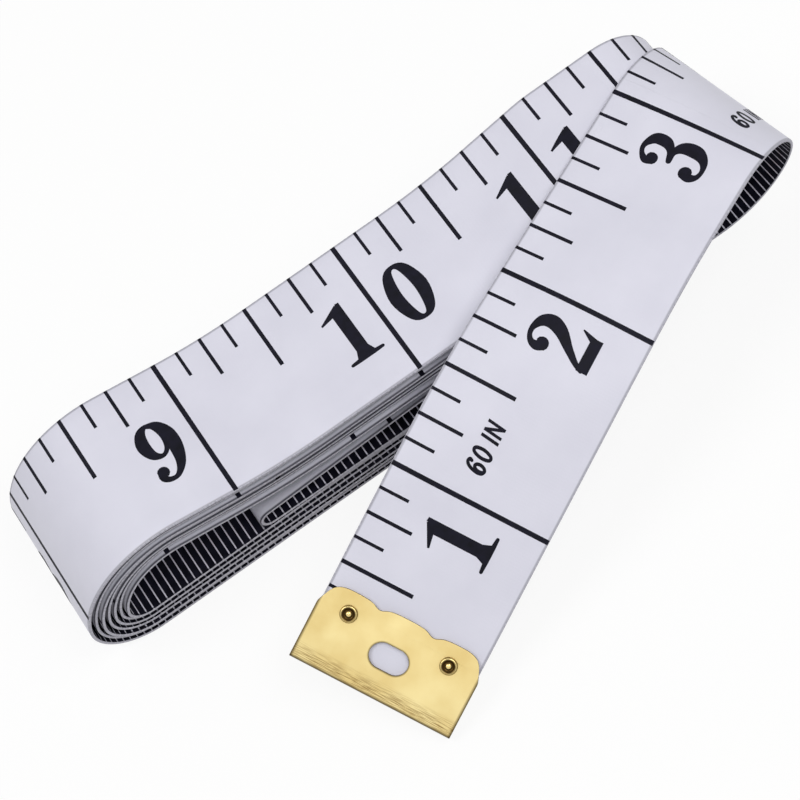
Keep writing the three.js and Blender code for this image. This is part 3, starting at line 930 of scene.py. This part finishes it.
def brass_shading(name, clouding, strength):
    """Mottled and scratched brass: what new_material gives, with the lines' mask in the end."""
    material, tree, vector, _, shader = new_material(name, "UV", (1, 1, 1), clouding)
    marks = add_node(tree, "ShaderNodeGroup", {}, node_tree=scratches)
    tree.links.new(vector, marks.inputs["Vector"])
    marks.inputs["Strength"].default_value = strength
    tree.links.new(marks.outputs["Normal"], shader.inputs["Normal"])
    shader.inputs["Metallic"].default_value = 1.0
    return material, tree, vector, shader, marks.outputs["Mask"]


def clip_material():
    """Pale brass: brown streaks by its fold, partly painted reflection, and painted shade at its edges
    and window.
    """
    clouding = {"Scale": 0.16, "Dark": brass_dark, "Light": brass_light, "Glossy": 0.28, "Dull": 0.4}
    material, tree, vector, shader, lines = brass_shading("clip_brass", clouding, strength=0.3)
    across, along, _ = add_node(tree, "ShaderNodeSeparateXYZ", {0: vector}).outputs
    # Brown streaks beside the fold: partly rubbed marks, partly painted reflection
    away = calculate(tree, "ABSOLUTE", calculate(tree, "SUBTRACT", along, streak_at))
    band = ramp(tree, away, 0.0, streak_reach, shade_and_streak_amount, 0.0)
    streaks = calculate(tree, "MULTIPLY", band, ramp(tree, lines, *streak_lines))
    darken(tree, shader, streaks, streak_and_reflection_color)
    # Painted shade under the fold, at the sides and round the window
    fold_shade = ramp(tree, along, fold_shade_from, fold_shade_to, shade_and_streak_amount, 0.0)
    darken(tree, shader, fold_shade, rim_shade)
    off = calculate(tree, "ABSOLUTE", across)
    side = clip_width / 2 / MM
    side_shade = ramp(tree, off, side - side_shade_from, side - side_shade_to, 0.0, shade_and_streak_amount)
    darken(tree, shader, side_shade, rim_shade)
    # How far it is from the middle line of the window's oblong
    past = calculate(tree, "SUBTRACT", off, (window_length - window_width) / 2 / MM)
    past = calculate(tree, "MAXIMUM", past, 0.0)
    aside = calculate(tree, "SUBTRACT", along, window_at / MM)
    reach = add_node(tree, "ShaderNodeCombineXYZ", {"X": past, "Y": aside}).outputs[0]
    distance = vector_length(tree, reach)
    edge = window_width / 2 / MM
    window_shade = ramp(tree, distance, edge, edge + window_shade_to, shade_and_streak_amount, 0.0)
    darken(tree, shader, window_shade, rim_shade)
    return material


def rim_material():
    """The cut edges of the brass, dark with painted shade."""
    clouding = {"Scale": 0.8, "Dark": rim_shade, "Light": rim_shade_light, "Glossy": 0.35, "Dull": 0.5}
    return brass_shading("clip_rim", clouding, strength=0.2)[0]


clip_brass = clip_material()
clip_rim = rim_material()


def leaf_outline():
    """The outline of one leaf from its fold: straight sides, then the lobes."""
    side = clip_width / 2
    lobe = clip_width / lobe_count
    near = lobe * lobe_near_share
    outline = [(side, clip_half)]
    for i in range(lobe_count):
        begin = side - lobe * i
        start = shoulder_length if i == 0 else clip_length - lobe_depth
        end = shoulder_length if i == lobe_count - 1 else clip_length - lobe_depth
        top = (begin - lobe / 2, clip_length)
        rise = (begin - near, start + (clip_length - start) * lobe_rise_share)
        fall = (begin - lobe + near, end + (clip_length - end) * lobe_rise_share)
        curves = (
            ((begin, start), rise, (begin - near, clip_length), top),
            (top, (begin - lobe + near, clip_length), fall, (begin - lobe, end)),
        )
        for a, b, c, d in np.array(curves):
            for t in np.arange(lobe_steps) / lobe_steps:
                first, last = a * (1 - t)**3, d * t**3
                outline.append(first + 3 * b * t * (1 - t)**2 + 3 * c * t * t * (1 - t) + last)
    points = np.array([*outline, (-side, shoulder_length), (-side, clip_half)])
    # In the valleys between the lobes the corners are worn round
    valleys = [(side - lobe * i, clip_length - lobe_depth) for i in range(1, lobe_count)]
    away = [np.hypot(*(points - valley).T) for valley in valleys]
    worn = np.min(away, axis=0)[:, None] < valley_reach
    for _ in range(valley_rounds):
        average = (np.roll(points, 1, axis=0) + 2 * points + np.roll(points, -1, axis=0)) / 4
        points = np.where(worn, average, points)
    return points


def oblong(length, width, x, y, steps):
    """An oblong with round ends. With its length as its width it is a circle."""
    points = []
    for i in range(steps):
        angle = -math.pi / 2 + 2 * math.pi * (i + 0.5) / steps
        hand = math.copysign((length - width) / 2, math.cos(angle))
        points.append((x + hand + width / 2 * math.cos(angle), y + width / 2 * math.sin(angle)))
    return points


def cut_leaf():
    """One flat leaf, with its window and the holes for its rivets, in millimetres."""
    hole = 2 * (rivet_radius + rivet_hole_gap)
    loops = [leaf_outline(), oblong(window_length, window_width, 0, window_at, window_steps)]
    loops += [oblong(hole, hole, x, y, rivet_hole_steps) for x, y in rivet_places]
    drawing = bpy.data.curves.new("clip_model", "CURVE")
    drawing.dimensions = "2D"
    drawing.fill_mode = "BOTH"
    for loop in loops:
        spline = drawing.splines.new("POLY")
        spline.points.add(len(loop) - 1)
        for point, (x, y) in zip(spline.points, loop):
            point.co = (x / MM, y / MM, 0, 1)
        spline.use_cyclic_u = True
    model = bpy.data.objects.new("clip_model", drawing)
    bpy.context.scene.collection.objects.link(model)
    bpy.ops.object.select_all(action="DESELECT")
    model.select_set(True)
    bpy.context.view_layer.objects.active = model
    bpy.ops.object.convert(target="MESH")
    return bpy.context.object


def model_clip():
    """The leaf's copy is mirrored to the other face, and the fold is spun between them."""
    model = cut_leaf()
    for material in (clip_brass, clip_rim):
        model.data.materials.append(material)
    bpy.ops.object.mode_set(mode="EDIT")
    bpy.ops.mesh.select_all(action="SELECT")
    bpy.ops.mesh.remove_doubles(threshold=merge_below)
    bpy.ops.transform.translate(value=(0, 0, (clip_half - brass_sheet / 2) / MM))
    bpy.ops.mesh.duplicate()
    bpy.ops.transform.resize(value=(1, 1, -1), center_override=(0, 0, 0))
    bpy.ops.mesh.select_all(action="DESELECT")
    bpy.ops.mesh.select_mode(type="EDGE")
    centre = clip_half / MM
    shape = bmesh.from_edit_mesh(model.data)
    for edge in shape.edges:
        if all(abs(v.co.y - centre) < merge_below and v.co.z > 0 for v in edge.verts):
            edge.select_set(True)
    bmesh.update_edit_mesh(model.data)
    bpy.ops.mesh.spin(steps=clip_fold_steps, angle=-math.pi, center=(0, centre, 0), axis=(1, 0, 0))
    bpy.ops.mesh.select_all(action="SELECT")
    bpy.ops.mesh.remove_doubles(threshold=merge_below)
    bpy.ops.mesh.normals_make_consistent(inside=False)
    bpy.ops.object.mode_set(mode="OBJECT")
    wall = model.modifiers.new("wall", "SOLIDIFY")
    wall.thickness = brass_sheet / MM
    wall.offset = 0
    wall.material_offset_rim = 1
    bpy.ops.object.modifier_apply(modifier="wall")
    bpy.ops.object.shade_smooth_by_angle(angle=clip_smooth_below)
    rounding = model.modifiers.new("rounding", "BEVEL")
    rounding.width = clip_edge / MM
    rounding.segments = clip_edge_steps
    rounding.limit_method = "ANGLE"
    rounding.angle_limit = clip_round_above
    rounding.harden_normals = True
    bpy.ops.object.modifier_apply(modifier="rounding")
    return model


def map_plan(model, size):
    """Its UV is its plan, in shares of a size."""
    uv = model.data.uv_layers.active or model.data.uv_layers.new(name="UVMap")
    for loop in model.data.loops:
        uv.data[loop.index].uv = model.data.vertices[loop.vertex_index].co.xy / size


def place_copy(model, name, place):
    """A copy with a mesh of its own, brought from millimetres to its size and place."""
    piece = model.copy()
    piece.data = model.data.copy()
    piece.name = piece.data.name = name
    piece.data.transform(place @ Matrix.Scale(MM, 4))
    bpy.context.scene.collection.objects.link(piece)
    return piece


def clip_frame(s, toward):
    """The clip's own frame at an end of the tape: X across, Y away from its fold, Z out of the tape."""
    here, ahead, beside = lay([(s, 0, 0), (s + toward, 0, 0), (s, 1 * MM, 0)])
    along = Vector(ahead - here).normalized()
    across = Vector(beside - here).normalized()
    fold = Vector(here) - along * tape_inset
    basis = Matrix((across, along, across.cross(along))).transposed().to_4x4()
    return Matrix.Translation(fold) @ basis


clip_frames = {
    "start": clip_frame(tape_inset, clip_length),
    "end": clip_frame(inner_end_s, -clip_length),
}
clip_model = model_clip()
map_plan(clip_model, 1)
clip_pieces = {}
for prefix, place in clip_frames.items():
    clip = place_copy(clip_model, f"{prefix}_clip_brass", place)
    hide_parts(f"{prefix}_clip")
    clip_pieces[prefix] = [clip]
bpy.data.objects.remove(clip_model)

# The rivets
# Two small brass rivets hold each clip: a round shank through the brass and the cloth, and on each
# face a head rolled out round a deep dish, with a low dome in it. The dish and the head's outer
# edge are darkened with painted shade. They are alike on both faces, and are drawn out ring by
# ring from the middle of the shank.
rivet_dark = (0.62, 0.44, 0.16)
rivet_light = (0.86, 0.70, 0.32)
dish_shade_color = (0.05, 0.028, 0.008)
rivet_head_radius = 1.05 * MM
rivet_head_height = 0.35 * MM
rivet_steps = 36
# Painted shade on a head at shares of its radius: none on its dome, full in its dish, some on its rim
dish_shade_shares = ((0.26, 0.0), (0.34, 1.0), (0.72, 1.0), (0.86, 0.3), (1.0, 0.85))


def rivet_material():
    """Brass with painted shade in the dish, and bright on the dome and the rim."""
    clouding = {"Scale": 1.5, "Dark": rivet_dark, "Light": rivet_light, "Glossy": 0.2, "Dull": 0.32}
    material, tree, vector, shader, _ = brass_shading("rivet_brass", clouding, strength=0.15)
    dish = add_node(tree, "ShaderNodeValToRGB", {"Fac": vector_length(tree, vector)})
    stops = dish.color_ramp.elements
    stops.remove(stops[1])
    for number, (place, share) in enumerate(dish_shade_shares):
        stop = stops.new(place) if number else stops[0]
        stop.position = place
        stop.color = (share, share, share, 1)
    # Painted shade in the dish and at the head's outer edge
    darken(tree, shader, dish.outputs["Color"], dish_shade_color)
    return material


def model_rivet():
    """Its rings, in millimetres: the shank, the rolled rim, the dish, and the dome in it."""
    head = rivet_head_radius / MM
    seat = clip_half / MM
    top = seat + rivet_head_height / MM
    rings = (
        (rivet_radius / MM, seat),
        (head, seat + 0.02), (1.02 * head, seat + 0.1), (0.97 * head, top - 0.09),
        (0.88 * head, top - 0.01), (0.76 * head, top), (0.66 * head, top - 0.07),
        (0.54 * head, top - 0.24), (0.42 * head, top - 0.29), (0.34 * head, top - 0.24),
        (0.26 * head, top - 0.12), (0.14 * head, top - 0.06),
    )
    radius, height = rivet_radius / MM, 0.0
    bpy.ops.object.select_all(action="DESELECT")
    bpy.ops.mesh.primitive_circle_add(vertices=rivet_steps, radius=radius, location=(0, 0, 0))
    model = bpy.context.object
    bpy.ops.object.mode_set(mode="EDIT")
    for next_radius, next_height in rings:
        rise = (0, 0, next_height - height)
        grown = next_radius / radius
        bpy.ops.mesh.extrude_region_move(TRANSFORM_OT_translate={"value": rise})
        bpy.ops.transform.resize(value=(grown, grown, 1), center_override=(0, 0, 0))
        radius, height = next_radius, next_height
    bpy.ops.mesh.merge(type="CENTER")
    bpy.ops.object.mode_set(mode="OBJECT")
    twin = model.modifiers.new("twin", "MIRROR")
    twin.use_axis = (False, False, True)
    twin.merge_threshold = merge_below
    bpy.ops.object.modifier_apply(modifier="twin")
    bpy.ops.object.mode_set(mode="EDIT")
    bpy.ops.mesh.select_all(action="SELECT")
    bpy.ops.mesh.normals_make_consistent(inside=False)
    bpy.ops.object.mode_set(mode="OBJECT")
    bpy.ops.object.shade_smooth()
    return model


rivet_model = model_rivet()
map_plan(rivet_model, rivet_head_radius / MM)
rivet_model.data.materials.append(rivet_material())
for prefix, place in clip_frames.items():
    for number, (x, y) in enumerate(rivet_places, 1):
        rivet_place = place @ Matrix.Translation((x, y, 0))
        rivet = place_copy(rivet_model, f"{prefix}_rivet_{number}_brass", rivet_place)
        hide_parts(f"{prefix}_rivet_{number}")
        clip_pieces[prefix].append(rivet)
bpy.data.objects.remove(rivet_model)
for piece in clip_pieces["end"]:
    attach(piece, "coil")
for piece in clip_pieces["start"]:
    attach(piece, "lead")

# The table, the light and the camera
# A white studio table without an edge, in light from all round and from three large lamps. The
# camera stands where the printed inch marks of the photograph place it.
floor_color = (0.93, 0.93, 0.92, 1)
floor_roughness = 0.9
floor_specular = 0.1
floor_size = 8.0
floor_drop = 0.03 * MM            # the ink under the coil stands out of the cloth by a little less
floor_glow = 0.88                 # the share of plain white that the camera sees in the table
world_strength = 0.3
lamp_size = 0.4
# Each lamp's place, from the middle of the object, and its power
lamps = {
    "key": ((-0.3, 0.12, 0.65), 1.8),
    "fill": ((0.35, -0.15, 0.6), 1.1),
    "top": ((0.14, -0.32, 0.67), 1.5),
}
camera_eye = Vector((-16.36, -143.5, 301.2)) * MM
camera_ahead = Vector((0.03565, 0.46118, -0.88659))
camera_upward = Vector((0.57358, 0.71704, 0.39605))
camera_zoom = 2805.0 / 800        # its focal length over the width of its sensor
camera_sensor = 36
camera_near = 0.01                # it sees nothing that is nearer than this


def pale_rays(tree):
    """One for what the camera sees directly, in a gloss or through glass, and nothing otherwise."""
    rays = add_node(tree, "ShaderNodeLightPath").outputs
    seen = rays["Is Camera Ray"]
    for name in ("Is Glossy Ray", "Is Transmission Ray"):
        seen = calculate(tree, "MAXIMUM", seen, rays[name])
    return seen


def make_floor():
    material = bpy.data.materials.new("pale_floor")
    material.use_nodes = True
    tree = material.node_tree
    shader = tree.nodes["Principled BSDF"]
    shader.inputs["Base Color"].default_value = floor_color
    shader.inputs["Roughness"].default_value = floor_roughness
    shader.inputs["Specular IOR Level"].default_value = floor_specular
    glow = add_node(tree, "ShaderNodeEmission", {"Color": (1, 1, 1, 1), "Strength": 1.0}).outputs[0]
    share = calculate(tree, "MULTIPLY", pale_rays(tree), floor_glow)
    mix = add_node(tree, "ShaderNodeMixShader", {0: share, 1: shader.outputs[0], 2: glow})
    tree.links.new(mix.outputs[0], tree.nodes["Material Output"].inputs["Surface"])
    bpy.ops.object.select_all(action="DESELECT")
    bpy.ops.mesh.primitive_plane_add(size=floor_size, location=(0, 0, -floor_drop))
    floor = bpy.context.object
    floor.name = "floor"
    floor.data.materials.append(material)


def add_lamp(name, place, target, power):
    data = bpy.data.lights.new(name, "AREA")
    data.shape = "DISK"
    data.size = lamp_size
    data.energy = power
    lamp = bpy.data.objects.new(name, data)
    bpy.context.scene.collection.objects.link(lamp)
    lamp.location = place
    lamp.rotation_euler = (Vector(target) - Vector(place)).to_track_quat("-Z", "Y").to_euler()


def light_scene():
    world = bpy.data.worlds.new("studio")
    bpy.context.scene.world = world
    world.use_nodes = True
    tree = world.node_tree
    strength = ramp(tree, pale_rays(tree), 0.0, 1.0, world_strength, 1.0)
    background = tree.nodes["Background"]
    background.inputs["Color"].default_value = (1, 1, 1, 1)
    tree.links.new(strength, background.inputs["Strength"])
    middle = (cad_box[0] + cad_box[1]) / 2
    for name, (place, power) in lamps.items():
        add_lamp(name, middle + Vector(place), middle, power)


def place_camera():
    right = camera_ahead.cross(camera_upward).normalized()
    basis = Matrix((right, right.cross(camera_ahead), -camera_ahead)).transposed().to_4x4()
    data = bpy.data.cameras.new("camera")
    data.sensor_width = camera_sensor
    data.lens = camera_zoom * camera_sensor
    data.clip_start = camera_near
    camera = bpy.data.objects.new("camera", data)
    bpy.context.scene.collection.objects.link(camera)
    camera.matrix_world = Matrix.Translation(camera_eye) @ basis
    bpy.context.scene.camera = camera


make_floor()
light_scene()
place_camera()
bpy.context.scene.view_settings.view_transform = "Standard"
